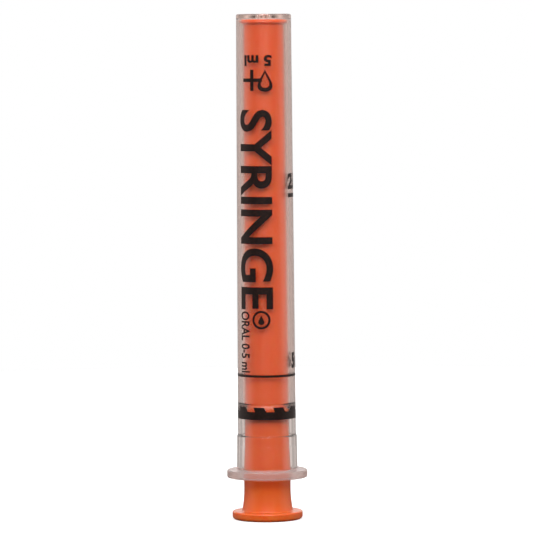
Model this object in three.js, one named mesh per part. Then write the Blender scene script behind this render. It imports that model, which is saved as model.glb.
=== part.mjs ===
// Oral dosing syringe, 5 ml, in two moulded pieces: a clear barrel with a finger flange, and a hollow plunger.
// Millimetres, +Z towards the nose. The origin is the centre of the thumb disc's flat underside, with the
// plunger pushed fully home. Both pieces are turned about the Z axis.
import * as THREE from "three";

// Facets round each turned piece. Both pieces share them, so their running clearances stay even.
const SEGMENTS = 48;

// Dose: the bore's area and the longest dose set how far the plunger travels to draw it.
const BORE_R = 4.73;
const DOSE_MM3 = 5000;
const DOSE_TRAVEL = DOSE_MM3 / (Math.PI * BORE_R ** 2);

// Overall lengths along the axis
const TOTAL_HEIGHT = 101;
const NOSE_WALL = 0.85;
const FLANGE_BOTTOM = 8.4;

// Barrel
const NOSE_R = 5.47;
const NOSE_CORNER_R = 0.35;
const DOSING_HOLE_R = 1.1;
const DOSING_HOLE_CHAMFER = 0.15;
const BORE_END_FILLET = 0.25;
const BARREL_END_R = 5.8;
const SLEEVE_TOP = 16.75;
const SLEEVE_TOP_R = 5.97;
const SLEEVE_END_R = 6.06;
const SLEEVE_SHOULDER_R = 0.17;
const FLANGE_R = 8.04;
const FLANGE_THICKNESS = 1.55;
const FLANGE_CORNER_R = 0.3;
const FLANGE_FILLET_R = 0.35;

// Retaining bead inside the barrel, and the wider mouth below it
const BEAD_BELOW_DOSE = 5.9;
const BEAD_R = 4.56;
const BEAD_SLOPE = 0.35;
const MOUTH_BORE_R = 4.97;
const LEAD_IN_TOP = 14.75;
const LEAD_IN_R = 5.12;
const MOUTH_CHAMFER = 0.2;

// Plunger
const TIP_GAP = 0.1;
const TIP_WALL = 1.35;
const TIP_FLAT_R = 3.4;
const LIP_CLEARANCE = 0.04;
const LIP_DROP = 0.5;
const LIP_LAND = 0.2;
const LIP_UNDERCUT = 0.45;
const STEM_TIP_R = 3.96;
const STEM_SWELL_TOP = 16;
const STEM_SWELL_R = 4.42;
const STALK_TOP = 9.3;
const STALK_R = 4.665;
const FLARE_TOP = 6;
const FLARE_ARC_R = 21.5;
const DISC_R = 7.04;
const DISC_THICKNESS = 1.65;
const DISC_LOWER_CORNER_R = 0.65;
const DISC_UPPER_CORNER_R = 0.3;
const DISC_FILLET_R = 0.3;
const HOLLOW_MOUTH_R = 3.7;
const HOLLOW_MOUTH_CHAMFER = 0.3;
const HOLLOW_END_R = 3.1;
const HOLLOW_END_FILLET = 0.6;

// Plastics
const CLEAR_PLASTIC = { color: 0xe6dfd8, roughness: 0.22, metalness: 0, transparent: true, opacity: 0.35 };
const ORANGE_PLASTIC = { color: 0xe8642a, roughness: 0.35, metalness: 0 };

// Worked-out heights
const NOSE_INSIDE = TOTAL_HEIGHT - NOSE_WALL;
const TIP_FACE = NOSE_INSIDE - TIP_GAP;
const DOSE_LINE = NOSE_INSIDE - DOSE_TRAVEL;
const BEAD_TOP = DOSE_LINE - BEAD_BELOW_DOSE + BEAD_SLOPE;
const FLANGE_TOP = FLANGE_BOTTOM + FLANGE_THICKNESS;

const RIGHT = 0;
const UP = Math.PI / 2;
const LEFT = Math.PI;
const DOWN = -Math.PI / 2;

// A profile point: radius from the axis, height along it.
function at(radius, height) {
  return new THREE.Vector2(radius, height);
}

// Points along an arc about a centre, from one direction to another, both ends included.
function arc(radius, height, arcRadius, from, to, steps = 4) {
  return Array.from({ length: steps + 1 }, (_, i) => {
    const angle = from + ((to - from) * i) / steps;
    return at(radius + arcRadius * Math.cos(angle), height + arcRadius * Math.sin(angle));
  });
}

// A round plate's rim, from its lower face to its upper one, with both corners rounded.
function rim(radius, bottom, thickness, lowerCornerR, upperCornerR) {
  return [
    ...arc(radius - lowerCornerR, bottom + lowerCornerR, lowerCornerR, DOWN, RIGHT),
    ...arc(radius - upperCornerR, bottom + thickness - upperCornerR, upperCornerR, RIGHT, UP),
  ];
}

// A named solid turned about Z from a profile that goes up the outside and down the inside.
function turned(name, profile, plastic) {
  const geometry = new THREE.LatheGeometry(profile, SEGMENTS);
  geometry.rotateX(Math.PI / 2);
  const mesh = new THREE.Mesh(geometry, new THREE.MeshStandardMaterial(plastic));
  mesh.name = name;
  return mesh;
}

// Barrel: flange rim, sleeve and its shoulder, drafted tube, nose, dosing hole, bore, bead and mouth.
function barrelProfile() {
  const mouth = at(LEAD_IN_R + MOUTH_CHAMFER, FLANGE_BOTTOM);
  return [
    mouth,
    ...rim(FLANGE_R, FLANGE_BOTTOM, FLANGE_THICKNESS, FLANGE_CORNER_R, FLANGE_CORNER_R),
    ...arc(SLEEVE_END_R + FLANGE_FILLET_R, FLANGE_TOP + FLANGE_FILLET_R, FLANGE_FILLET_R, -UP, -LEFT),
    ...arc(SLEEVE_TOP_R - SLEEVE_SHOULDER_R, SLEEVE_TOP, SLEEVE_SHOULDER_R, RIGHT, UP, 3),
    at(BARREL_END_R, SLEEVE_TOP + 2 * SLEEVE_SHOULDER_R),
    ...arc(NOSE_R - NOSE_CORNER_R, TOTAL_HEIGHT - NOSE_CORNER_R, NOSE_CORNER_R, RIGHT, UP),
    at(DOSING_HOLE_R + DOSING_HOLE_CHAMFER, TOTAL_HEIGHT),
    at(DOSING_HOLE_R, TOTAL_HEIGHT - DOSING_HOLE_CHAMFER),
    at(DOSING_HOLE_R, NOSE_INSIDE),
    ...arc(BORE_R - BORE_END_FILLET, NOSE_INSIDE - BORE_END_FILLET, BORE_END_FILLET, UP, RIGHT),
    at(BORE_R, BEAD_TOP),
    at(BEAD_R, BEAD_TOP - BEAD_SLOPE),
    at(MOUTH_BORE_R, BEAD_TOP - 3 * BEAD_SLOPE),
    at(MOUTH_BORE_R, LEAD_IN_TOP),
    at(LEAD_IN_R, FLANGE_BOTTOM + MOUTH_CHAMFER),
    mouth,
  ];
}

// Plunger: thumb disc, concave flare, stalk, tapered stem, seal lip and closed tip, then the open hollow.
function plungerProfile() {
  const lipR = BORE_R - LIP_CLEARANCE;
  const lipTop = TIP_FACE - LIP_DROP;
  const flareDrop = FLARE_TOP - DISC_THICKNESS - DISC_FILLET_R;
  const flareSweep = Math.asin(flareDrop / FLARE_ARC_R);
  const flareFootR = STALK_R + FLARE_ARC_R * (1 - Math.cos(flareSweep));
  const hollowEnd = TIP_FACE - TIP_WALL;
  return [
    at(0, hollowEnd),
    ...arc(HOLLOW_END_R - HOLLOW_END_FILLET, hollowEnd - HOLLOW_END_FILLET, HOLLOW_END_FILLET, UP, RIGHT),
    at(HOLLOW_MOUTH_R, HOLLOW_MOUTH_CHAMFER),
    at(HOLLOW_MOUTH_R + HOLLOW_MOUTH_CHAMFER, 0),
    ...rim(DISC_R, 0, DISC_THICKNESS, DISC_LOWER_CORNER_R, DISC_UPPER_CORNER_R),
    ...arc(flareFootR + DISC_FILLET_R, DISC_THICKNESS + DISC_FILLET_R, DISC_FILLET_R, -UP, -LEFT + flareSweep, 3),
    ...arc(STALK_R + FLARE_ARC_R, FLARE_TOP, FLARE_ARC_R, -LEFT + flareSweep, -LEFT, 6).slice(1),
    at(STALK_R, STALK_TOP),
    at(STEM_SWELL_R, STEM_SWELL_TOP),
    at(STEM_TIP_R, lipTop - LIP_LAND - LIP_UNDERCUT),
    at(lipR, lipTop - LIP_LAND),
    at(lipR, lipTop),
    at((lipR + TIP_FLAT_R) / 2, TIP_FACE - LIP_DROP / 4),
    at(TIP_FLAT_R, TIP_FACE),
    at(0, TIP_FACE),
  ];
}

const syringe = new THREE.Group();
syringe.add(turned("barrel", barrelProfile(), CLEAR_PLASTIC));
syringe.add(turned("plunger", plungerProfile(), ORANGE_PLASTIC));

export default syringe;
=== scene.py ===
"""A 5 ml oral dosing syringe: a clear barrel, a hollow orange plunger and the black print on the barrel.

Each piece is a grid of points worked out with numpy, in metres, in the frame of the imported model: +Z runs
up the axis to the nose, and the plunger's thumb disc stands on z = 0.
"""

import math

import bmesh
import bpy
import numpy as np
from mathutils import Matrix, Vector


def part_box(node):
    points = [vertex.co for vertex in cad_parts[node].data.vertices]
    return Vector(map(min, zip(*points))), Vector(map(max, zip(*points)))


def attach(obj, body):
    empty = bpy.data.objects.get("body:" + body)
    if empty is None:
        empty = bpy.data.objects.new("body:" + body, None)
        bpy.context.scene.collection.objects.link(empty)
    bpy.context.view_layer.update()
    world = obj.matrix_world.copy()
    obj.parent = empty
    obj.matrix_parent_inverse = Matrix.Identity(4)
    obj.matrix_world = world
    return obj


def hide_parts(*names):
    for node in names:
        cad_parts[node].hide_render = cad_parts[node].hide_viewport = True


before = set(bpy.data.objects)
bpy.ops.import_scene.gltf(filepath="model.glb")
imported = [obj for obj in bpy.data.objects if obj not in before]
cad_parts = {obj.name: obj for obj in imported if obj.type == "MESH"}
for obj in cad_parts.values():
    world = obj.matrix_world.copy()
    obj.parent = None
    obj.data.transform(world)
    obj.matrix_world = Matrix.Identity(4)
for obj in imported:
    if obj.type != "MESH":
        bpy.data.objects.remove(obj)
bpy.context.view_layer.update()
BARREL_LOW, BARREL_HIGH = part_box("barrel")
PLUNGER_LOW, PLUNGER_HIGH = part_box("plunger")

bl_info = {
    "name": "Oral Syringe",
    "version": (1, 0, 0),
    "blender": (4, 5, 0),
    "location": "3D View > Sidebar > Syringe",
    "description": "Builds a clear oral dosing syringe with its plunger and print",
    "category": "Add Mesh",
}

MM = 0.001
QUARTER = math.pi / 2
SEGMENTS = 224
SHARP_ANGLE = math.radians(50)
# The studio's brightness at angles in degrees from straight behind, round to straight in front
STUDIO_LEVELS = (
    *((0, 0.66), (6, 0.58), (10, 0.12), (15, 0.2), (20, 0.5), (26, 0.86)),
    *((36, 0.42), (50, 0.42), (68, 0.8), (102, 0.85), (122, 0.24), (180, 0.2)),
)


def length(name, description, default, digits=3):
    """A length property in metres, shown with its name and description."""
    return bpy.props.FloatProperty(
        name=name, description=description, default=default, unit="LENGTH", precision=digits
    )


def share(name, description, default):
    """A factor property from 0 to 1."""
    return bpy.props.FloatProperty(
        name=name, description=description, default=default, min=0, max=1, subtype="FACTOR"
    )


def level(name, description, default):
    """A number that isn't a length or a share, such as a power or a brightness."""
    return bpy.props.FloatProperty(name=name, description=description, default=default, min=0)


def turn(name, description, default):
    """An angle property, given in degrees."""
    return bpy.props.FloatProperty(
        name=name, description=description, default=math.radians(default), subtype="ANGLE"
    )


def colour(name, description, default):
    """A colour property with red, green and blue in linear light."""
    return bpy.props.FloatVectorProperty(
        name=name, description=description, default=default, size=3, min=0, max=1, subtype="COLOR"
    )


class BarrelSizes(bpy.types.PropertyGroup):
    """Sizes of the clear barrel, from its flange up to its nose."""

    bottom: length("Bottom", "Height of the flange's underside", BARREL_LOW[2])
    top: length("Top", "Height of the nose", BARREL_HIGH[2])
    flange_r: length("Flange radius", "Radius of the finger flange", BARREL_HIGH[0])
    flange_thickness: length("Flange thickness", "Thickness of the finger flange", 1.55 * MM)
    flange_corner: length("Flange corner", "Rounding of the flange's rim", 0.3 * MM)
    flange_fillet: length("Flange fillet", "Fillet between the flange and the sleeve", 0.35 * MM)
    sleeve_end_r: length("Sleeve end radius", "Outside radius of the sleeve at the flange", 6.06 * MM)
    sleeve_top_r: length("Sleeve top radius", "Outside radius of the sleeve at its shoulder", 5.97 * MM)
    sleeve_top: length("Sleeve top", "Height of the sleeve's shoulder", 16.75 * MM)
    shoulder: length("Shoulder", "Rounding of the sleeve's shoulder", 0.17 * MM)
    tube_end_r: length("Tube end radius", "Outside radius of the tube above the sleeve", 5.8 * MM)
    nose_r: length("Nose radius", "Outside radius of the tube at the nose", 5.47 * MM)
    nose_corner: length("Nose corner", "Rounding of the nose's edge", 0.35 * MM)
    nose_wall: length("Nose wall", "Thickness of the flat end", 0.85 * MM)
    hole_r: length("Dosing hole radius", "Radius of the hole through the nose", 1.1 * MM)
    hole_corner: length("Hole corner", "Rounding at the dosing hole's mouth", 0.15 * MM)
    bore_r: length("Bore radius", "Inside radius along the dose scale", 4.73 * MM)
    bore_fillet: length("Bore fillet", "Rounding at the blind end of the bore", 0.25 * MM)
    bead_top: length("Bead top", "Height where the retaining bead starts", 23.46 * MM)
    bead_r: length("Bead radius", "Inside radius at the bead's crest", 4.56 * MM)
    bead_crest: length("Bead crest", "Rounding of the bead's crest", 0.06 * MM, 5)
    bead_slope: length("Bead slope", "Height of each of the bead's slopes", 0.35 * MM)
    mouth_r: length("Mouth radius", "Inside radius below the bead", 4.97 * MM)
    lead_in_top: length("Lead-in top", "Height where the mouth starts to widen", 14.75 * MM)
    lead_in_r: length("Lead-in radius", "Inside radius at the flange", 5.12 * MM)
    lead_in_step: length("Lead-in step", "Width of the step where the mouth widens", 0.05 * MM)
    mouth_chamfer: length("Mouth chamfer", "Chamfer at the mouth's edge", 0.2 * MM)


class PlungerSizes(bpy.types.PropertyGroup):
    """Sizes of the orange plunger, from its thumb disc up to its tip."""

    top: length("Tip", "Height of the plunger's tip", PLUNGER_HIGH[2])
    disc_r: length("Disc radius", "Radius of the thumb disc", PLUNGER_HIGH[0])
    disc_thickness: length("Disc thickness", "Thickness of the thumb disc", 1.65 * MM)
    disc_lower_corner: length("Disc lower corner", "Rounding of the thumb disc's lower edge", 0.65 * MM)
    disc_upper_corner: length("Disc upper corner", "Rounding of the thumb disc's upper edge", 0.3 * MM)
    disc_fillet: length("Disc fillet", "Fillet between the disc and the flare", 0.3 * MM)
    flare_top: length("Flare top", "Height where the stalk starts to flare", 6 * MM)
    flare_arc: length("Flare arc", "Radius of the flare's hollow curve", 21.5 * MM)
    stalk_r: length("Stalk radius", "Radius of the stalk under the flange", 4.665 * MM)
    stalk_top: length("Stalk top", "Height where the stalk narrows to the stem", 9.3 * MM)
    swell_top: length("Swell top", "Height where the stem's own taper starts", 16 * MM)
    swell_r: length("Swell radius", "Radius of the stem at that height", 4.42 * MM)
    tip_stem_r: length("Stem radius at the tip", "Radius of the stem under the seal lip", 3.96 * MM)
    lip_clearance: length("Lip clearance", "Gap between the seal lip and the bore", 0.03 * MM, 5)
    lip_drop: length("Lip drop", "Height of the tip's face above the lip", 0.5 * MM)
    lip_land: length("Lip land", "Height of the lip's edge", 0.2 * MM)
    lip_corner: length("Lip corner", "Rounding of the lip's lower edge", 0.06 * MM, 5)
    lip_undercut: length("Lip undercut", "Height of the slope under the lip", 0.45 * MM)
    tip_flat_r: length("Tip flat radius", "Radius of the flat part of the tip", 3.4 * MM)
    tip_wall: length("Tip wall", "Thickness of the closed tip", 1.35 * MM)
    hollow_mouth_r: length("Hollow mouth radius", "Radius of the hollow at the thumb disc", 3.7 * MM)
    hollow_end_r: length("Hollow end radius", "Radius of the hollow behind the tip", 3.1 * MM)
    hollow_corner: length("Hollow corner", "Rounding at the hollow's mouth", 0.3 * MM)
    hollow_fillet: length("Hollow fillet", "Rounding of the hollow's blind end", 0.6 * MM)


class PrintSizes(bpy.types.PropertyGroup):
    """Sizes and places of the black print on the barrel's outside."""

    gap: length("Gap", "Gap between the plastic and the ink film", 0.004 * MM, 5)
    film: length("Film", "Thickness of the ink film", 0.02 * MM, 5)
    full_dose: length("Full dose", "Height of the 5 ml line", 29.05 * MM)
    line: length("Line", "Thickness of a dose line", 0.48 * MM)
    band_bottom: length("Band bottom", "Height of the grip band's lower edge", 20.35 * MM)
    band_floor: length("Band floor", "Height of the grip band's notches", 21.93 * MM)
    band_top: length("Band top", "Height of the grip band's teeth", 22.83 * MM)
    tooth_pitch: turn("Tooth pitch", "Angle from one tooth to the next", 40)
    tooth_width: turn("Tooth width", "Angle across a tooth", 22.6)
    tooth_start: turn("Tooth start", "Angle of the first tooth's middle from the front", -12.4)
    tooth_lean: turn("Tooth lean", "Angle by which a tooth's top leans back", 4)
    tooth_side: turn("Tooth side", "Angle over which a tooth's side rises", 1.2)


class Colours(bpy.types.PropertyGroup):
    """Colours of the two plastics, the ink, the floor and the studio."""

    clear: colour("Clear", "Tint of the barrel's sleeve and flange", (1, 0.985, 0.975))
    # The warm tint below is a painted orange glow, standing in for the plunger's light in the barrel's wall
    clear_painted_glow: colour("Warm clear", "Tint of the barrel where the orange glows in it", (1, 0.87, 0.825))
    haze: colour("Haze", "Colour that the barrel's plastic lets through", (0.78, 0.55, 0.42))
    milk: colour("Milk", "Milky white in the flange", (1, 0.95, 0.93))
    tube_light: colour("Light through the tube", "Light that falls through the tube", (1, 0.9, 0.9))
    flange_light: colour("Light through the flange", "Light that falls through it", (0.74, 0.6, 0.58))
    orange: colour("Orange", "Orange of the plunger", (0.74, 0.136, 0.021))
    orange_pale: colour("Pale orange", "Orange where the flow is paler", (0.78, 0.158, 0.028))
    ink: colour("Ink", "Black of the print", (0.008, 0.003, 0.002))
    ink_thin: colour("Thin ink", "Black where the ink is thinner", (0.03, 0.009, 0.007))
    floor: colour("Floor", "Pale floor", (0.92, 0.92, 0.92))
    studio: colour("Studio", "Tint of the studio's greys", (1, 0.9, 0.86))


class Finishes(bpy.types.PropertyGroup):
    """How rough, milky and deep the clear plastic and the orange plastic are."""

    satin: share("Satin", "Roughness that the bore has above the outside", 0.17)
    frost: share("Frost", "Roughness that the flange has above the outside", 0.16)
    milk: share("Milk", "Share of milky plastic in the flange", 0.22)
    milk_through: share("Milk through", "Share of the milk's light that shines through it", 0.4)
    frost_edge: length("Frost edge", "Height over which the flange's frosting fades", 0.5 * MM)
    # These two heights fade in the painted orange glow in the barrel's tint
    painted_glow_start: length("Glow start", "Height above the flange where the warm tint starts", 8 * MM)
    painted_glow_end: length("Glow end", "Height above the flange where the warm tint is full", 20 * MM)
    haze: level("Haze density", "How strongly the clear plastic takes up light", 45)
    depth: length("Orange depth", "How far light goes into the orange", 0.8 * MM, 4)
    grain: length("Grain", "Height of the flow marks in both plastics", 0.05 * MM, 5)


class StageSettings(bpy.types.PropertyGroup):
    """Camera, floor and light."""

    distance: length("Camera distance", "Distance of the camera from the axis", 0.85)
    above: length("Camera height", "Height of the camera above the nose", 3 * MM)
    lens: level("Lens", "Focal length in millimetres", 286.9)
    pitch: turn("Pitch", "How far the camera looks down", 3.6075)
    yaw: turn("Yaw", "How far the camera looks to the side", -0.0259)
    roll: turn("Roll", "How far the camera leans", -0.48)
    floor_r: length("Floor radius", "Radius of the pale floor", 0.35)
    floor_glow: share("Floor glow", "Light that the floor gives off", 0.45)
    # Painted shade round the foot: how far the floor's glow is dimmed near the axis
    painted_foot_shade: share("Foot level", "Brightness of the floor's reflection by the foot", 0.3)
    foot_near: length("Foot near", "Distance from the axis where it starts to brighten", 0.05)
    foot_far: length("Foot far", "Distance from the axis where it is fully bright", 0.12)
    overhead_back: level("Overhead back", "Brightness overhead, towards the back", 0.45)
    overhead_front: level("Overhead front", "Brightness overhead, towards the front", 1.25)
    key_width: length("Key width", "Width of the soft light in front", 1.1)
    key_height: length("Key height", "Height of the soft light in front", 0.28)
    key_distance: length("Key distance", "Distance of the soft light from the syringe", 1.0)
    key_rise: turn("Key rise", "Angle of the soft light above the floor", 28)
    key_power: level("Key power", "Power of the soft light", 7.9)


# Profiles: arrays of (radius, height), up the outside and down the inside


def arc(radius, height, arc_radius, start, end, steps=10):
    """Points on a circle about (radius, height): centre + arc_radius * (cos a, sin a), with a from start
    to end."""
    a = np.linspace(start, end, steps + 1)
    return np.column_stack([radius + arc_radius * np.cos(a), height + arc_radius * np.sin(a)])


def rim(radius, bottom, thickness, lower, upper):
    """The rounded rim of a round plate: a quarter circle up from its lower face and one on to its upper."""
    return np.vstack(
        [
            arc(radius - lower, bottom + lower, lower, -QUARTER, 0),
            arc(radius - upper, bottom + thickness - upper, upper, 0, QUARTER),
        ]
    )


def straight_kept(profile, hold=0.03 * MM, shortest=0.3 * MM):
    """The profile with two more points on each straight longer than shortest, hold from its ends.
    They keep smooth shading flat along the straight."""
    start, end = profile[:-1], profile[1:]
    run = end - start
    reach = np.linalg.norm(run, axis=1, keepdims=True)
    step = run / np.maximum(reach, 1e-12) * hold
    points = np.stack([start, start + step, end - step], axis=1).reshape(-1, 2)
    long_enough = reach[:, 0] > shortest
    kept = np.stack([np.ones_like(long_enough), long_enough, long_enough], axis=1).reshape(-1)
    return np.vstack([points[kept], profile[-1:]])


def grid_faces(rows, columns, wrap_rows):
    """Quads of a grid whose columns close on themselves, and whose rows do too if wrap_rows."""
    row = np.arange(rows if wrap_rows else rows - 1)[:, None]
    column = np.arange(columns)[None, :]
    above, beside = (row + 1) % rows, (column + 1) % columns
    here, there = row * columns, above * columns
    corners = (here + column, here + beside, there + beside, there + column)
    return np.stack(corners, axis=-1).reshape(-1, 4)


def solid_mesh(name, points, quads, fans=None):
    """A mesh of quads and triangles, turned outwards: its signed volume, the sum of a . (b x c) / 6 over
    its triangles, is made positive."""
    fans = np.empty((0, 3), int) if fans is None else fans
    halves = np.vstack([quads[:, [0, 1, 2]], quads[:, [0, 2, 3]], fans])
    a, b, c = (points[halves[:, i]] for i in range(3))
    if np.einsum("ij,ij->i", a, np.cross(b, c)).sum() < 0:
        quads, fans = quads[:, ::-1], fans[:, ::-1]
    mesh = bpy.data.meshes.new(name)
    mesh.from_pydata(points.tolist(), [], quads.tolist() + fans.tolist())
    mesh.update()
    mesh.shade_smooth()
    mesh.set_sharp_from_angle(angle=SHARP_ANGLE)
    return mesh


def turned(name, profile):
    """A solid turned about Z: x = r sin a, y = -r cos a, z = h, over the profile's (r, h) and a whole turn
    of a. A profile that starts and ends on the axis is closed by a point at each pole."""
    profile = straight_kept(profile)
    on_axis = profile[0, 0] < 1e-9
    rings = profile[1:-1] if on_axis else profile[:-1]
    angle = np.linspace(0, 2 * math.pi, SEGMENTS, endpoint=False)
    radius, height = rings[:, :1], rings[:, 1:]
    grid = np.stack([radius * np.sin(angle), -radius * np.cos(angle), height + 0 * angle], axis=-1)
    points = grid.reshape(-1, 3)
    quads = grid_faces(len(rings), SEGMENTS, wrap_rows=not on_axis)
    if not on_axis:
        return solid_mesh(name, points, quads)
    poles = np.array([[0, 0, profile[0, 1]], [0, 0, profile[-1, 1]]])
    first, last = len(points), len(points) + 1
    column = np.arange(SEGMENTS)
    beside = (column + 1) % SEGMENTS
    end_row = (len(rings) - 1) * SEGMENTS
    fans = np.vstack(
        [
            np.column_stack([np.full(SEGMENTS, first), beside, column]),
            np.column_stack([np.full(SEGMENTS, last), end_row + column, end_row + beside]),
        ]
    )
    return solid_mesh(name, np.vstack([points, poles]), quads, fans)


def barrel_profile(s):
    """Up the outside: flange rim, sleeve, shoulder, drafted tube and nose. Down the inside: dosing hole,
    bore, retaining bead and widening mouth. The shoulder is two arcs that stop short of level."""
    flange_top = s.bottom + s.flange_thickness
    fillet = s.flange_fillet
    tube_bottom = s.sleeve_top + 2 * s.shoulder
    inside_top = s.top - s.nose_wall
    crest = s.bead_crest
    mouth = np.array([[s.lead_in_r + s.mouth_chamfer, s.bottom]])
    return np.vstack(
        [
            mouth,
            rim(s.flange_r, s.bottom, s.flange_thickness, s.flange_corner, s.flange_corner),
            arc(s.sleeve_end_r + fillet, flange_top + fillet, fillet, -QUARTER, -math.pi),
            arc(s.sleeve_top_r - s.shoulder, s.sleeve_top, s.shoulder, 0, QUARTER * 0.9, 6),
            arc(s.tube_end_r + s.shoulder, tube_bottom, s.shoulder, -QUARTER * 1.1, -math.pi, 6),
            arc(s.nose_r - s.nose_corner, s.top - s.nose_corner, s.nose_corner, 0, QUARTER),
            arc(s.hole_r + s.hole_corner, s.top - s.hole_corner, s.hole_corner, QUARTER, math.pi, 5),
            [[s.hole_r, inside_top]],
            arc(s.bore_r - s.bore_fillet, inside_top - s.bore_fillet, s.bore_fillet, QUARTER, 0, 8),
            [[s.bore_r, s.bead_top]],
            arc(s.bead_r + crest, s.bead_top - s.bead_slope, crest, math.pi * 0.86, math.pi * 1.2, 5),
            [[s.mouth_r, s.bead_top - 3 * s.bead_slope]],
            [[s.mouth_r, s.lead_in_top]],
            [[s.mouth_r + s.lead_in_step, s.lead_in_top - s.lead_in_step]],
            [[s.lead_in_r, s.bottom + s.mouth_chamfer]],
            mouth,
        ]
    )


def plunger_profile(s, bore_r):
    """From the hollow's blind end down to its mouth, then up the outside: disc, flare, stalk, stem, seal
    lip and tip."""
    hollow_top = s.top - s.tip_wall
    lip_r = bore_r - s.lip_clearance
    lip_top = s.top - s.lip_drop
    lip_foot = lip_top - s.lip_land
    end, corner, fillet = s.hollow_fillet, s.hollow_corner, s.disc_fillet
    flare_foot = s.disc_thickness + fillet
    sweep = math.asin((s.flare_top - flare_foot) / s.flare_arc)
    foot_r = s.stalk_r + s.flare_arc * (1 - math.cos(sweep))
    return np.vstack(
        [
            [[0, hollow_top]],
            arc(s.hollow_end_r - end, hollow_top - end, end, QUARTER, 0),
            arc(s.hollow_mouth_r + corner, corner, corner, math.pi, math.pi + QUARTER, 6),
            rim(s.disc_r, 0, s.disc_thickness, s.disc_lower_corner, s.disc_upper_corner),
            arc(foot_r + fillet, flare_foot, fillet, -QUARTER, sweep - math.pi, 8),
            arc(s.stalk_r + s.flare_arc, s.flare_top, s.flare_arc, sweep - math.pi, -math.pi, 24)[1:],
            swell(s),
            [[s.tip_stem_r, lip_foot - s.lip_undercut]],
            arc(lip_r - s.lip_corner, lip_foot, s.lip_corner, -QUARTER * 0.7, 0, 5),
            dome(lip_r, lip_top, s.tip_flat_r, s.top),
            [[0, s.top]],
        ]
    )


def swell(s, steps=24):
    """The stalk narrowing to the stem: its radius eased from one to the other by 3t^2 - 2t^3."""
    t = np.linspace(0, 1, steps + 1)
    ease = t * t * (3 - 2 * t)
    radius = s.stalk_r + (s.swell_r - s.stalk_r) * ease
    return np.column_stack([radius, s.stalk_top + (s.swell_top - s.stalk_top) * t])


def dome(lip_r, lip_top, flat_r, top, steps=12):
    """The tip's rounded shoulder: a quarter ellipse from the lip's edge up to the flat."""
    t = np.linspace(0, QUARTER, steps + 1)
    radius = flat_r + (lip_r - flat_r) * np.cos(t)
    return np.column_stack([radius, lip_top + (top - lip_top) * np.sin(t)])


# Print: flat shapes in the plane, wrapped round the barrel


def barrel_radius(height, s):
    """Outside radius of the drafted tube at a height: a straight line from the sleeve up to the nose."""
    low, high = s.sleeve_top + 2 * s.shoulder, s.top - s.nose_corner
    return s.tube_end_r + (s.nose_r - s.tube_end_r) * (height - low) / (high - low)


def wrapped(around, height, lift, s):
    """Points on the tube: radius r = tube radius + lift, at x = r sin(a), y = -r cos(a), with a the angle
    from the front in radians and z the height."""
    radius = barrel_radius(height, s) + lift
    return np.stack([radius * np.sin(around), -radius * np.cos(around), height], axis=-1)


def film_ring(name, low, high, lean, s, p, columns=1440, rows=9):
    """A closed band of ink round the barrel. Its section at each angle is a thin strip from low to high,
    up the film's outside and back down its inside. A point turns back by lean, an angle for its height."""
    angle = np.linspace(0, 2 * math.pi, columns, endpoint=False)
    t = np.linspace(0, 1, rows)[:, None]
    height = low(angle)[None] + (high(angle) - low(angle))[None] * t
    around = angle[None] - lean(height)
    outer = wrapped(around, height, p.gap + p.film, s)
    inner = wrapped(around, height, p.gap, s)
    points = np.concatenate([outer, inner[::-1]]).reshape(-1, 3)
    return added(name, solid_mesh(name, points, grid_faces(2 * rows, columns, wrap_rows=True)))


def flat_text(body, weight):
    """A word as a flat mesh about the origin, its strokes made heavier by weight."""
    curve = bpy.data.curves.new("word", "FONT")
    curve.body = body
    curve.align_x = "CENTER"
    curve.align_y = "CENTER"
    curve.offset = weight
    curve.resolution_u = 6
    holder = bpy.data.objects.new("word", curve)
    bpy.context.scene.collection.objects.link(holder)
    bpy.context.view_layer.update()
    graph = bpy.context.evaluated_depsgraph_get()
    mesh = bpy.data.meshes.new_from_object(holder.evaluated_get(graph))
    bpy.data.objects.remove(holder)
    bpy.data.curves.remove(curve)
    return mesh


def mesh_points(mesh):
    """The mesh's points as an array."""
    points = np.empty(len(mesh.vertices) * 3, np.float32)
    mesh.vertices.foreach_get("co", points)
    return points.reshape(-1, 3).astype(float)


def fitted(mesh, width, height, quarter_turns):
    """The flat mesh stretched to a width along its reading line and a height across it, in metres, then
    turned by quarter turns anticlockwise."""
    points = mesh_points(mesh)[:, :2]
    low, high = points.min(0), points.max(0)
    points = (points - (low + high) / 2) / (high - low) * np.array([width, height])
    cos, sin = math.cos(quarter_turns * QUARTER), math.sin(quarter_turns * QUARTER)
    points = points @ np.array([[cos, sin], [-sin, cos]])
    mesh.vertices.foreach_set("co", np.column_stack([points, np.zeros(len(points))]).ravel())
    return mesh


def circle(radius, count=72):
    """A circle: (r cos t, r sin t) over a whole turn."""
    t = np.linspace(0, 2 * math.pi, count, endpoint=False)
    return radius * np.column_stack([np.cos(t), np.sin(t)])


def droplet(half_height, half_width, count=72):
    """A droplet, point up: x = w sin t (1 - cos t) / 1.3 and y = h cos t, over a whole turn of t."""
    t = np.linspace(0, 2 * math.pi, count, endpoint=False)
    return np.column_stack([half_width * np.sin(t) * (1 - np.cos(t)) / 1.3, half_height * np.cos(t)])


def flat_shape(outline):
    """One flat face from its outline."""
    mesh = bpy.data.meshes.new("shape")
    points = np.column_stack([outline, np.zeros(len(outline))])
    mesh.from_pydata(points.tolist(), [], [list(range(len(points)))])
    return mesh


def bar(width, height):
    """A flat rectangle about the origin."""
    return flat_shape(np.array([[-1, -1], [1, -1], [1, 1], [-1, 1]]) * [width / 2, height / 2])


def cross(reach, half_stroke):
    """A plus sign: four arms that reach out from the middle."""
    arm = np.array([[half_stroke, half_stroke], [half_stroke, reach], [-half_stroke, reach]])
    quarter = np.array([[0, 1], [-1, 0]])
    return flat_shape(np.vstack([arm @ np.linalg.matrix_power(quarter, k) for k in range(4)]))


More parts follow.
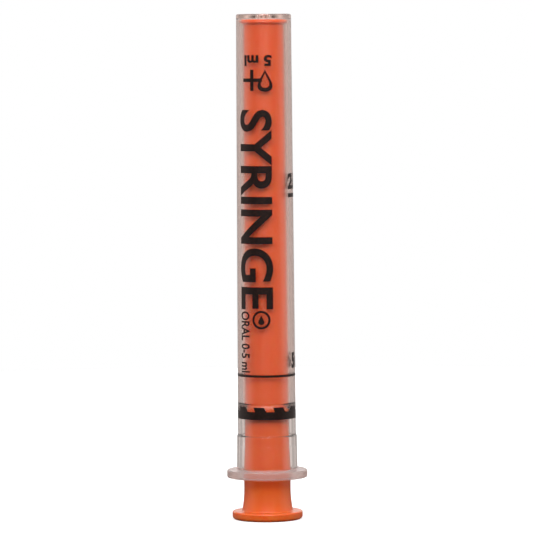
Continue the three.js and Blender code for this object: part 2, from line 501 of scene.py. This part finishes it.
def ribbon(outer, inner):
    """A flat band between two closed outlines with the same number of points."""
    count = len(outer)
    mesh = bpy.data.meshes.new("band")
    points = np.vstack([outer, inner])
    here = np.arange(count)
    following = (here + 1) % count
    faces = np.column_stack([here, following, following + count, here + count])
    mesh.from_pydata(np.column_stack([points, np.zeros(len(points))]).tolist(), [], faces.tolist())
    return mesh


def slice_across(flat, step):
    """Cuts the flat mesh into narrow strips across, then into triangles, so that it bends smoothly."""
    cut = bmesh.new()
    cut.from_mesh(flat)
    across = mesh_points(flat)[:, 0]
    for x in np.arange(across.min() + step / 2, across.max(), step):
        geometry = cut.verts[:] + cut.edges[:] + cut.faces[:]
        bmesh.ops.bisect_plane(cut, geom=geometry, plane_co=(x, 0, 0), plane_no=(1, 0, 0), dist=1e-7)
    bmesh.ops.remove_doubles(cut, verts=cut.verts[:], dist=1e-7)
    bmesh.ops.triangulate(cut, faces=cut.faces[:])
    cut.to_mesh(flat)
    cut.free()


def film(name, flat, angle, height, s, p, step=0.2 * MM):
    """The flat mesh wrapped round the barrel at an angle and a height: one copy at the film's outside, one
    turned over at its inside, and a wall of quads along each open edge to join them."""
    slice_across(flat, step)
    points = mesh_points(flat)
    triangles = np.empty(len(flat.polygons) * 3, np.int32)
    flat.polygons.foreach_get("vertices", triangles)
    triangles = triangles.reshape(-1, 3)
    a, b, c = (points[triangles[:, i], :2] for i in range(3))
    facing_back = np.cross(b - a, c - a) < 0
    triangles[facing_back] = triangles[facing_back][:, ::-1]
    around = angle + points[:, 0] / barrel_radius(height, s)
    z = height + points[:, 1]
    both = np.vstack([wrapped(around, z, p.gap + p.film, s), wrapped(around, z, p.gap, s)])
    edges = np.vstack([triangles[:, [0, 1]], triangles[:, [1, 2]], triangles[:, [2, 0]]])
    _, which, uses = np.unique(np.sort(edges, axis=1), axis=0, return_inverse=True, return_counts=True)
    rim_edges = edges[uses[which.ravel()] == 1]
    count = len(points)
    walls = np.column_stack([rim_edges[:, ::-1], rim_edges + count])
    mesh = solid_mesh(name, both, walls, np.vstack([triangles, triangles[:, ::-1] + count]))
    return added(name, mesh)


def added(name, mesh):
    """A new object at the origin that holds the mesh."""
    piece = bpy.data.objects.new(name, mesh)
    bpy.context.scene.collection.objects.link(piece)
    return piece


def finished(piece, material, body):
    """Gives a piece its material and names the body it rides on."""
    piece.data.materials.clear()
    piece.data.materials.append(material)
    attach(piece, body)
    return piece


# Shader nodes: each function adds nodes and hands back the output that carries the result


def feed(links, value, socket):
    """Gives an input its value: a link from another node, or a plain number or colour."""
    if isinstance(value, bpy.types.NodeSocket):
        links.new(value, socket)
    else:
        socket.default_value = value


def maths(nodes, links, operation, *values):
    """A Math node's result for its values in turn."""
    node = nodes.new("ShaderNodeMath")
    node.operation = operation
    for socket, value in zip(node.inputs, values, strict=False):
        feed(links, value, socket)
    return node.outputs[0]


def scaled(nodes, links, place, factors):
    """A place with x, y and z each multiplied by its own factor."""
    node = nodes.new("ShaderNodeVectorMath")
    node.operation = "MULTIPLY"
    feed(links, place, node.inputs[0])
    feed(links, factors, node.inputs[1])
    return node.outputs[0]


def ranged(nodes, links, value, start, end, low=0, high=1, kind="SMOOTHSTEP"):
    """From low where the value is at start to high where it is at end, level past both."""
    node = nodes.new("ShaderNodeMapRange")
    node.interpolation_type = kind
    feed(links, value, node.inputs["Value"])
    for label, number in (("From Min", start), ("From Max", end), ("To Min", low), ("To Max", high)):
        node.inputs[label].default_value = number
    return node.outputs["Result"]


def between(nodes, links, factor, first, second):
    """A colour that goes from the first to the second by a factor."""
    node = nodes.new("ShaderNodeMix")
    node.data_type = "RGBA"
    feed(links, factor, node.inputs["Factor"])
    feed(links, first, node.inputs["A"])
    feed(links, second, node.inputs["B"])
    return node.outputs["Result"]


def noise(nodes, links, place, scale, detail, roughness=0.5):
    """Fractal noise from 0 to 1 at a place."""
    node = nodes.new("ShaderNodeTexNoise")
    feed(links, place, node.inputs["Vector"])
    feed(links, scale, node.inputs["Scale"])
    node.inputs["Detail"].default_value = detail
    node.inputs["Roughness"].default_value = roughness
    return node.outputs["Fac"]


def object_place(nodes):
    """Object coordinates, in metres."""
    return nodes.new("ShaderNodeTexCoord").outputs["Object"]


def split(nodes, links, place):
    """The x, y and z of a place, by their names."""
    node = nodes.new("ShaderNodeSeparateXYZ")
    links.new(place, node.inputs[0])
    return node.outputs


def from_axis(nodes, links, place):
    """Distance from the Z axis: the length of (x, y, 0)."""
    node = nodes.new("ShaderNodeVectorMath")
    node.operation = "LENGTH"
    links.new(scaled(nodes, links, place, (1, 1, 0)), node.inputs[0])
    return node.outputs["Value"]


def plain_shader(nodes, links, kind, tint, strength=None):
    """A shader of a simple kind, such as a diffuse or a glowing one, with a colour."""
    node = nodes.new(kind)
    feed(links, tint, node.inputs["Color"])
    if strength is not None:
        feed(links, strength, node.inputs["Strength"])
    return node.outputs[0]


def either(nodes, links, factor, first, second):
    """A shader that goes from the first to the second by a factor."""
    node = nodes.new("ShaderNodeMixShader")
    for value, socket in zip((factor, first, second), node.inputs, strict=True):
        feed(links, value, socket)
    return node.outputs[0]


def by_ray(nodes, links, ray, otherwise, then):
    """One shader for rays of a kind and another for the rest."""
    return either(nodes, links, nodes.new("ShaderNodeLightPath").outputs[ray], otherwise, then)


def raised(nodes, links, height, strength, distance, shader):
    """Bumps from a height, at a strength and a full height in metres, on a shader."""
    node = nodes.new("ShaderNodeBump")
    node.inputs["Strength"].default_value = strength
    node.inputs["Distance"].default_value = distance
    links.new(height, node.inputs["Height"])
    links.new(node.outputs["Normal"], shader.inputs["Normal"])


# Shared effects


def new_group(name, inputs, outputs):
    """An empty shader node group with float inputs (name, default) and outputs (name, socket type)."""
    group = bpy.data.node_groups.new(name, "ShaderNodeTree")
    for label, default in inputs:
        socket = group.interface.new_socket(label, in_out="INPUT", socket_type="NodeSocketFloat")
        socket.default_value = default
    for label, kind in outputs:
        group.interface.new_socket(label, in_out="OUTPUT", socket_type=kind)
    return group, group.nodes.new("NodeGroupInput").outputs, group.nodes.new("NodeGroupOutput").inputs


def mottle_group():
    """Uneven polish: a base roughness plus an amount of (noise - 0.5), on Object coordinates."""
    made = bpy.data.node_groups.get("Uneven polish")
    if made:
        return made
    group, given, result = new_group(
        "Uneven polish",
        [("Scale", 400), ("Base", 0.2), ("Amount", 0.1)],
        [("Roughness", "NodeSocketFloat")],
    )
    nodes, links = group.nodes, group.links
    patches = noise(nodes, links, object_place(nodes), given["Scale"], 3)
    centred = maths(nodes, links, "SUBTRACT", patches, 0.5)
    rough = maths(nodes, links, "MULTIPLY_ADD", centred, given["Amount"], given["Base"])
    links.new(rough, result["Roughness"])
    return group


def flow_group():
    """Moulding flow: long streaks along Z, from noise on Object coordinates squeezed along the axis, as a
    mask and as a height."""
    made = bpy.data.node_groups.get("Moulding flow")
    if made:
        return made
    group, given, result = new_group(
        "Moulding flow",
        [("Scale", 300), ("Stretch", 0.06)],
        [("Mask", "NodeSocketFloat"), ("Height", "NodeSocketFloat")],
    )
    nodes, links = group.nodes, group.links
    factors = nodes.new("ShaderNodeCombineXYZ")
    factors.inputs["X"].default_value = 1
    factors.inputs["Y"].default_value = 1
    links.new(given["Stretch"], factors.inputs["Z"])
    squeezed = scaled(nodes, links, object_place(nodes), factors.outputs[0])
    streaks = noise(nodes, links, squeezed, given["Scale"], 4, 0.55)
    mask = ranged(nodes, links, streaks, 0.35, 0.65, kind="LINEAR")
    links.new(mask, result["Mask"])
    links.new(streaks, result["Height"])
    return group


def studio_group():
    """The studio's grey by direction, as a ramp over the angle from straight behind: a light patch behind,
    a dark band beside it, a bright strip, a soft box at each side and a dimmer front."""
    made = bpy.data.node_groups.get("Studio levels")
    if made:
        return made
    group, given, result = new_group("Studio levels", [], [("Color", "NodeSocketColor")])
    group.interface.new_socket("Direction", in_out="INPUT", socket_type="NodeSocketVector")
    nodes, links = group.nodes, group.links
    axes = split(nodes, links, given["Direction"])
    angle = maths(nodes, links, "ARCTAN2", axes["X"], axes["Y"])
    either_side = maths(nodes, links, "ABSOLUTE", angle)
    half_turns = maths(nodes, links, "DIVIDE", either_side, math.pi)
    ramp = nodes.new("ShaderNodeValToRGB")
    stops = ramp.color_ramp.elements
    while len(stops) < len(STUDIO_LEVELS):
        stops.new(0.5)
    tint = np.array(bpy.context.scene.syringe_colours.studio)
    for stop, (degrees, light) in zip(stops, STUDIO_LEVELS, strict=True):
        stop.position = degrees / 180
        stop.color = (*(light * tint), 1)
    links.new(half_turns, ramp.inputs["Fac"])
    links.new(ramp.outputs["Color"], result["Color"])
    return group


def placed_group(nodes, links, group, **values):
    """A group's outputs in a material or world, with its input values or links."""
    node = nodes.new("ShaderNodeGroup")
    node.node_tree = group
    for label, value in values.items():
        feed(links, value, node.inputs[label])
    return node.outputs


# Materials


def new_material(name):
    """A material with only its output and a Principled shader, and the two nodes."""
    material = bpy.data.materials.new(name)
    material.use_nodes = True
    nodes = material.node_tree.nodes
    return material, nodes, material.node_tree.links, nodes["Principled BSDF"], nodes["Material Output"]


def clear_plastic(c, f, frost_top, bore_limit):
    """Clear polypropylene: see-through, polished a little unevenly outside and satin in the bore, within a
    radius. Below a height, on the flange, it is frosted and milky, and less light falls through it on what
    is under it. Above the sleeve its tint warms with height, a painted orange glow that stands in for the
    plunger's light glowing in the wall."""
    material, nodes, links, shader, output = new_material("Clear polypropylene")
    shader.inputs["Transmission Weight"].default_value = 1
    shader.inputs["IOR"].default_value = 1.49
    place = object_place(nodes)
    height = split(nodes, links, place)["Z"]
    on_flange = ranged(nodes, links, height, frost_top + f.frost_edge, frost_top)
    # Painted orange glow: the tint warms with height where the plunger's light shows in the wall
    painted_glow = ranged(nodes, links, height, frost_top + f.painted_glow_start, frost_top + f.painted_glow_end)
    tint = between(nodes, links, painted_glow, (*c.clear, 1), (*c.clear_painted_glow, 1))
    links.new(tint, shader.inputs["Base Color"])
    outside, inside = bore_limit + 0.15 * MM, bore_limit + 0.05 * MM
    radius = from_axis(nodes, links, place)
    satin = ranged(nodes, links, radius, outside, inside, 0, f.satin, kind="LINEAR")
    frost = maths(nodes, links, "MULTIPLY", on_flange, f.frost)
    rougher = maths(nodes, links, "MAXIMUM", satin, frost)
    polish = placed_group(nodes, links, mottle_group(), Scale=900, Base=0.06, Amount=0.04)
    rough = maths(nodes, links, "ADD", polish["Roughness"], rougher)
    links.new(rough, shader.inputs["Roughness"])
    flow = placed_group(nodes, links, flow_group(), Scale=500, Stretch=0.05)
    raised(nodes, links, flow["Height"], 0.04, f.grain, shader)
    white = (*c.milk, 1)
    front = plain_shader(nodes, links, "ShaderNodeBsdfDiffuse", white)
    through = plain_shader(nodes, links, "ShaderNodeBsdfTranslucent", white)
    milk = either(nodes, links, f.milk_through, front, through)
    milkiness = maths(nodes, links, "MULTIPLY", on_flange, f.milk)
    plastic = either(nodes, links, milkiness, shader.outputs[0], milk)
    passed = between(nodes, links, on_flange, (*c.tube_light, 1), (*c.flange_light, 1))
    lit_through = plain_shader(nodes, links, "ShaderNodeBsdfTransparent", passed)
    plastic = by_ray(nodes, links, "Is Diffuse Ray", plastic, lit_through)
    plastic = by_ray(nodes, links, "Is Shadow Ray", plastic, lit_through)
    links.new(plastic, output.inputs["Surface"])
    haze = nodes.new("ShaderNodeVolumeAbsorption")
    haze.inputs["Color"].default_value = (*c.haze, 1)
    haze.inputs["Density"].default_value = f.haze
    links.new(haze.outputs[0], output.inputs["Volume"])
    return material


def orange_plastic(c, f):
    """Orange polyethylene: satin, with light that goes a little way in and faint flow marks."""
    material, nodes, links, shader, _ = new_material("Orange polyethylene")
    flow = placed_group(nodes, links, flow_group(), Scale=260, Stretch=0.04)
    tint = between(nodes, links, flow["Mask"], (*c.orange, 1), (*c.orange_pale, 1))
    links.new(tint, shader.inputs["Base Color"])
    polish = placed_group(nodes, links, mottle_group(), Scale=1400, Base=0.24, Amount=0.1)
    links.new(polish["Roughness"], shader.inputs["Roughness"])
    shader.inputs["IOR"].default_value = 1.5
    shader.inputs["Subsurface Weight"].default_value = 1
    shader.inputs["Subsurface Radius"].default_value = (1.0, 0.3, 0.08)
    shader.inputs["Subsurface Scale"].default_value = f.depth
    raised(nodes, links, flow["Height"], 0.08, f.grain, shader)
    return material


def black_ink(c):
    """Black pad-printing ink: semi-gloss, a little thinner in small patches."""
    material, nodes, links, shader, _ = new_material("Black ink")
    patches = noise(nodes, links, object_place(nodes), 2600, 3)
    thin = ranged(nodes, links, patches, 0.5, 0.72, kind="LINEAR")
    tint = between(nodes, links, thin, (*c.ink, 1), (*c.ink_thin, 1))
    links.new(tint, shader.inputs["Base Color"])
    polish = placed_group(nodes, links, mottle_group(), Scale=2200, Base=0.36, Amount=0.1)
    links.new(polish["Roughness"], shader.inputs["Roughness"])
    shader.inputs["Specular IOR Level"].default_value = 0.25
    return material


def ink_material(c):
    """The ink, made once and shared by all the print."""
    return bpy.data.materials.get("Black ink") or black_ink(c)


# Operators: one for each piece or group of like pieces


class SYRINGE_OT_barrel(bpy.types.Operator):
    """Make the clear barrel in place of the plain one"""

    bl_idname = "syringe.barrel"
    bl_label = "Barrel"

    def execute(self, context):
        scene = context.scene
        sizes = scene.syringe_barrel
        piece = added("barrel_moulding", turned("barrel_moulding", barrel_profile(sizes)))
        frost_top = sizes.bottom + sizes.flange_thickness
        colours, finishes = scene.syringe_colours, scene.syringe_finishes
        plastic = clear_plastic(colours, finishes, frost_top, sizes.bore_r)
        finished(piece, plastic, "barrel")
        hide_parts("barrel")
        return {"FINISHED"}


class SYRINGE_OT_plunger(bpy.types.Operator):
    """Make the hollow orange plunger in place of the plain one"""

    bl_idname = "syringe.plunger"
    bl_label = "Plunger"

    def execute(self, context):
        scene = context.scene
        profile = plunger_profile(scene.syringe_plunger, scene.syringe_barrel.bore_r)
        piece = added("plunger_moulding", turned("plunger_moulding", profile))
        plastic = orange_plastic(scene.syringe_colours, scene.syringe_finishes)
        finished(piece, plastic, "plunger")
        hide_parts("plunger")
        return {"FINISHED"}


def inked(piece, context):
    """Finishes a piece of print on the barrel."""
    return finished(piece, ink_material(context.scene.syringe_colours), "barrel")


class SYRINGE_OT_dose_lines(bpy.types.Operator):
    """Make the ring at the full dose"""

    bl_idname = "syringe.dose_lines"
    bl_label = "Dose lines"

    def execute(self, context):
        s, p = context.scene.syringe_barrel, context.scene.syringe_print

        def bottom(angle):
            return np.full_like(angle, p.full_dose - p.line / 2)

        def top(angle):
            return np.full_like(angle, p.full_dose + p.line / 2)

        inked(film_ring("dose_ring_5_ml", bottom, top, np.zeros_like, s, p), context)
        return {"FINISHED"}


class SYRINGE_OT_grip_band(bpy.types.Operator):
    """Make the castellated black band near the flange"""

    bl_idname = "syringe.grip_band"
    bl_label = "Grip band"

    def execute(self, context):
        s, p = context.scene.syringe_barrel, context.scene.syringe_print

        def bottom(angle):
            return np.full_like(angle, p.band_bottom)

        def top(angle):
            """The teeth: a wave of trapezia, clipped from the angle to the nearest tooth's middle."""
            half_pitch = p.tooth_pitch / 2
            aside = np.abs((angle - p.tooth_start + half_pitch) % p.tooth_pitch - half_pitch)
            inside = np.clip((p.tooth_width / 2 - aside) / p.tooth_side + 0.5, 0, 1)
            return p.band_floor + (p.band_top - p.band_floor) * inside

        def lean(height):
            above = np.clip((height - p.band_floor) / (p.band_top - p.band_floor), 0, 1)
            return p.tooth_lean * above

        inked(film_ring("grip_band", bottom, top, lean, s, p), context)
        return {"FINISHED"}


class SYRINGE_OT_words(bpy.types.Operator):
    """Make the word down the side, the small line beside it and the numerals"""

    bl_idname = "syringe.words"
    bl_label = "Words"

    def execute(self, context):
        s, p = context.scene.syringe_barrel, context.scene.syringe_print
        # Piece, text, stroke weight, length and height in mm, quarter turns, then the middle's angle from
        # the front in degrees and its height up the syringe in mm
        words = (
            ("side_word", "SYRINGE", 0.022, 39.7, 7.3, -1, -21.8, 62.2),
            ("side_line", "ORAL 0-5 ml", 0.024, 12.2, 2.35, -1, -46.5, 35.85),
            ("nose_numeral", "5 ml", 0.04, 5.8, 2.2, 2, -14, 91.8),
            ("numeral_2_5", "2.5 ml", 0.045, 8.8, 3.2, 0, 98.5, 67.75),
            ("numeral_5", "5 ml", 0.045, 6.0, 3.2, 0, 90, 32.0),
        )
        for name, body, weight, width, height, quarters, angle, z in words:
            flat = fitted(flat_text(body, weight), width * MM, height * MM, quarters)
            inked(film(name, flat, math.radians(angle), z * MM, s, p), context)
        return {"FINISHED"}


class SYRINGE_OT_marks(bpy.types.Operator):
    """Make the ringed droplet, the outlined droplet, the plus sign and the short line at half a dose"""

    bl_idname = "syringe.marks"
    bl_label = "Marks"

    def execute(self, context):
        s, p = context.scene.syringe_barrel, context.scene.syringe_print
        ring_r, stroke = 1.85 * MM, 0.45 * MM
        small_drop = droplet(0.95 * MM, 0.62 * MM)
        large_drop, hole = droplet(2.3 * MM, 1.5 * MM), droplet(1.5 * MM, 0.85 * MM)
        # Piece, its flat shape, then the middle's angle from the front in degrees and its height in mm
        marks = (
            ("mark_ring", ribbon(circle(ring_r), circle(ring_r - stroke)), -9.5, 40.3),
            ("mark_drop", ribbon(small_drop, 0.01 * small_drop), -9.5, 40.3),
            ("drop_outline", ribbon(large_drop, hole), 2, 87.9),
            ("plus_sign", cross(2.1 * MM, 0.36 * MM), -26, 87.9),
            ("tick_2_5_ml", bar(3.6 * MM, 0.78 * MM), 73, 64.95),
        )
        for name, flat, angle, z in marks:
            inked(film(name, flat, math.radians(angle), z * MM, s, p), context)
        return {"FINISHED"}


class SYRINGE_OT_stage(bpy.types.Operator):
    """Set the camera, the pale floor and the soft light"""

    bl_idname = "syringe.stage"
    bl_label = "Stage"

    def execute(self, context):
        scene = context.scene
        stage, colours = scene.syringe_stage, scene.syringe_colours
        make_camera(scene, stage)
        make_floor(stage, colours)
        make_world(scene, stage)
        make_key_light(scene, stage)
        scene.view_settings.view_transform = "Standard"
        scene.cycles.caustics_reflective = False
        scene.cycles.caustics_refractive = False
        scene.cycles.max_bounces = 20
        scene.cycles.transmission_bounces = 16
        scene.cycles.transparent_max_bounces = 24
        return {"FINISHED"}


def make_camera(scene, stage):
    """A long lens just above the nose, looking down a little at the middle of the syringe."""
    lens = bpy.data.cameras.new("camera")
    lens.lens = stage.lens
    lens.sensor_width = 36
    lens.clip_start = 0.05
    camera = bpy.data.objects.new("camera", lens)
    camera.location = (0, -stage.distance, BARREL_HIGH[2] + stage.above)
    camera.rotation_mode = "YXZ"
    camera.rotation_euler = (QUARTER - stage.pitch, 0, stage.yaw)
    scene.collection.objects.link(camera)
    bpy.context.view_layer.update()
    camera.matrix_world = camera.matrix_world @ Matrix.Rotation(stage.roll, 4, "Z")
    scene.camera = camera


def make_floor(stage, colours):
    """A round pale floor: rings of points at radius r and angle a. The camera sees it near white. For the
    plastic it glows in the studio's greys, a painted reflection of the studio, with painted shade that
    makes it darker round the foot, and from below it is see-through."""
    rings, spokes, drop = 24, 96, 0.02 * MM
    radius = np.linspace(1 / rings, 1, rings)[:, None] * stage.floor_r
    angle = np.linspace(0, 2 * math.pi, spokes, endpoint=False)[None]
    grid = np.stack([radius * np.cos(angle), radius * np.sin(angle), 0 * radius * angle - drop], axis=-1)
    points = np.vstack([grid.reshape(-1, 3), [[0, 0, -drop]]])
    quads = grid_faces(rings, spokes, wrap_rows=False)[:, ::-1]
    column = np.arange(spokes)
    fans = np.column_stack([np.full(spokes, len(points) - 1), column, (column + 1) % spokes])
    mesh = bpy.data.meshes.new("floor")
    mesh.from_pydata(points.tolist(), [], quads.tolist() + fans.tolist())
    floor = added("floor", mesh)
    material, nodes, links, shader, output = new_material("Pale floor")
    shader.inputs["Base Color"].default_value = (*colours.floor, 1)
    shader.inputs["Roughness"].default_value = 0.9
    shader.inputs["Specular IOR Level"].default_value = 0.1
    shader.inputs["Emission Color"].default_value = (1, 1, 1, 1)
    shader.inputs["Emission Strength"].default_value = stage.floor_glow
    place = object_place(nodes)
    away = from_axis(nodes, links, place)
    # Painted shade: the floor's glow for the plastic is darker round the syringe's foot
    light = ranged(nodes, links, away, stage.foot_near, stage.foot_far, stage.painted_foot_shade, 1)
    greys = placed_group(nodes, links, studio_group(), Direction=place)["Color"]
    # Painted light: for every ray but the camera's, the floor glows in the studio's greys
    painted_floor_light = plain_shader(nodes, links, "ShaderNodeEmission", greys, light)
    seen = by_ray(nodes, links, "Is Camera Ray", painted_floor_light, shader.outputs[0])
    from_below = nodes.new("ShaderNodeNewGeometry").outputs["Backfacing"]
    nothing = nodes.new("ShaderNodeBsdfTransparent").outputs[0]
    links.new(either(nodes, links, from_below, seen, nothing), output.inputs["Surface"])
    mesh.materials.append(material)


def make_world(scene, stage):
    """A white surround for the camera. The syringe stands in the studio's greys, with a light backdrop
    straight behind, above the floor, and a wide soft light overhead that is brighter towards the front.
    Directions have a length of 1, so each number is a part of it along Y or Z."""
    world = bpy.data.worlds.new("studio")
    world.use_nodes = True
    nodes, links = world.node_tree.nodes, world.node_tree.links
    surround = nodes["Background"]
    surround.inputs["Color"].default_value = (1, 1, 1, 1)
    direction = nodes.new("ShaderNodeTexCoord").outputs["Generated"]
    axes = split(nodes, links, direction)
    low, high = stage.overhead_back, stage.overhead_front
    upward = ranged(nodes, links, axes["Z"], 0.42, 0.58)
    overhead = ranged(nodes, links, axes["Y"], 0.25, -0.25, low, high)
    behind = ranged(nodes, links, axes["Y"], 0.55, 0.9)
    above_floor = ranged(nodes, links, axes["Z"], 0.02, 0.08)
    backdrop = maths(nodes, links, "MULTIPLY", behind, above_floor)
    greys = placed_group(nodes, links, studio_group(), Direction=direction)["Color"]
    lit = between(nodes, links, upward, greys, overhead)
    lit = between(nodes, links, backdrop, lit, (1.05, 1, 0.98, 1))
    studio = plain_shader(nodes, links, "ShaderNodeBackground", lit)
    seen = by_ray(nodes, links, "Is Camera Ray", studio, surround.outputs[0])
    links.new(seen, nodes["World Output"].inputs["Surface"])
    scene.world = world


def make_key_light(scene, stage):
    """A wide, low soft box in front and above, aimed at the middle of the syringe."""
    light = bpy.data.lights.new("key", "AREA")
    light.shape = "RECTANGLE"
    light.size = stage.key_width
    light.size_y = stage.key_height
    light.energy = stage.key_power
    lamp = bpy.data.objects.new("key", light)
    aim = np.array([0, 0, 0.5 * BARREL_HIGH[2]])
    away = stage.key_distance * np.array([0, -math.cos(stage.key_rise), math.sin(stage.key_rise)])
    lamp.location = aim + away
    lamp.rotation_euler = (QUARTER - stage.key_rise, 0, 0)
    lamp.visible_camera = False
    scene.collection.objects.link(lamp)


class SYRINGE_PT_panel(bpy.types.Panel):
    """Buttons for each piece of the syringe"""

    bl_label = "Oral Syringe"
    bl_idname = "SYRINGE_PT_panel"
    bl_space_type = "VIEW_3D"
    bl_region_type = "UI"
    bl_category = "Syringe"

    def draw(self, context):
        for operator in OPERATORS:
            self.layout.operator(operator.bl_idname)


OPERATORS = (
    SYRINGE_OT_stage,
    SYRINGE_OT_barrel,
    SYRINGE_OT_plunger,
    SYRINGE_OT_dose_lines,
    SYRINGE_OT_grip_band,
    SYRINGE_OT_words,
    SYRINGE_OT_marks,
)
SETTINGS = {
    "syringe_barrel": BarrelSizes,
    "syringe_plunger": PlungerSizes,
    "syringe_print": PrintSizes,
    "syringe_colours": Colours,
    "syringe_finishes": Finishes,
    "syringe_stage": StageSettings,
}


def register():
    """Adds the settings, operators and panel."""
    for name, settings in SETTINGS.items():
        bpy.utils.register_class(settings)
        setattr(bpy.types.Scene, name, bpy.props.PointerProperty(type=settings))
    for item in (*OPERATORS, SYRINGE_PT_panel):
        bpy.utils.register_class(item)


def unregister():
    """Removes the panel, operators and settings."""
    for item in (SYRINGE_PT_panel, *reversed(OPERATORS)):
        bpy.utils.unregister_class(item)
    for name, settings in reversed(SETTINGS.items()):
        delattr(bpy.types.Scene, name)
        bpy.utils.unregister_class(settings)


def main():
    """Makes the stage and every piece."""
    register()
    bpy.ops.syringe.stage()
    bpy.ops.syringe.barrel()
    bpy.ops.syringe.plunger()
    bpy.ops.syringe.dose_lines()
    bpy.ops.syringe.grip_band()
    bpy.ops.syringe.words()
    bpy.ops.syringe.marks()


if __name__ == "__main__":
    main()
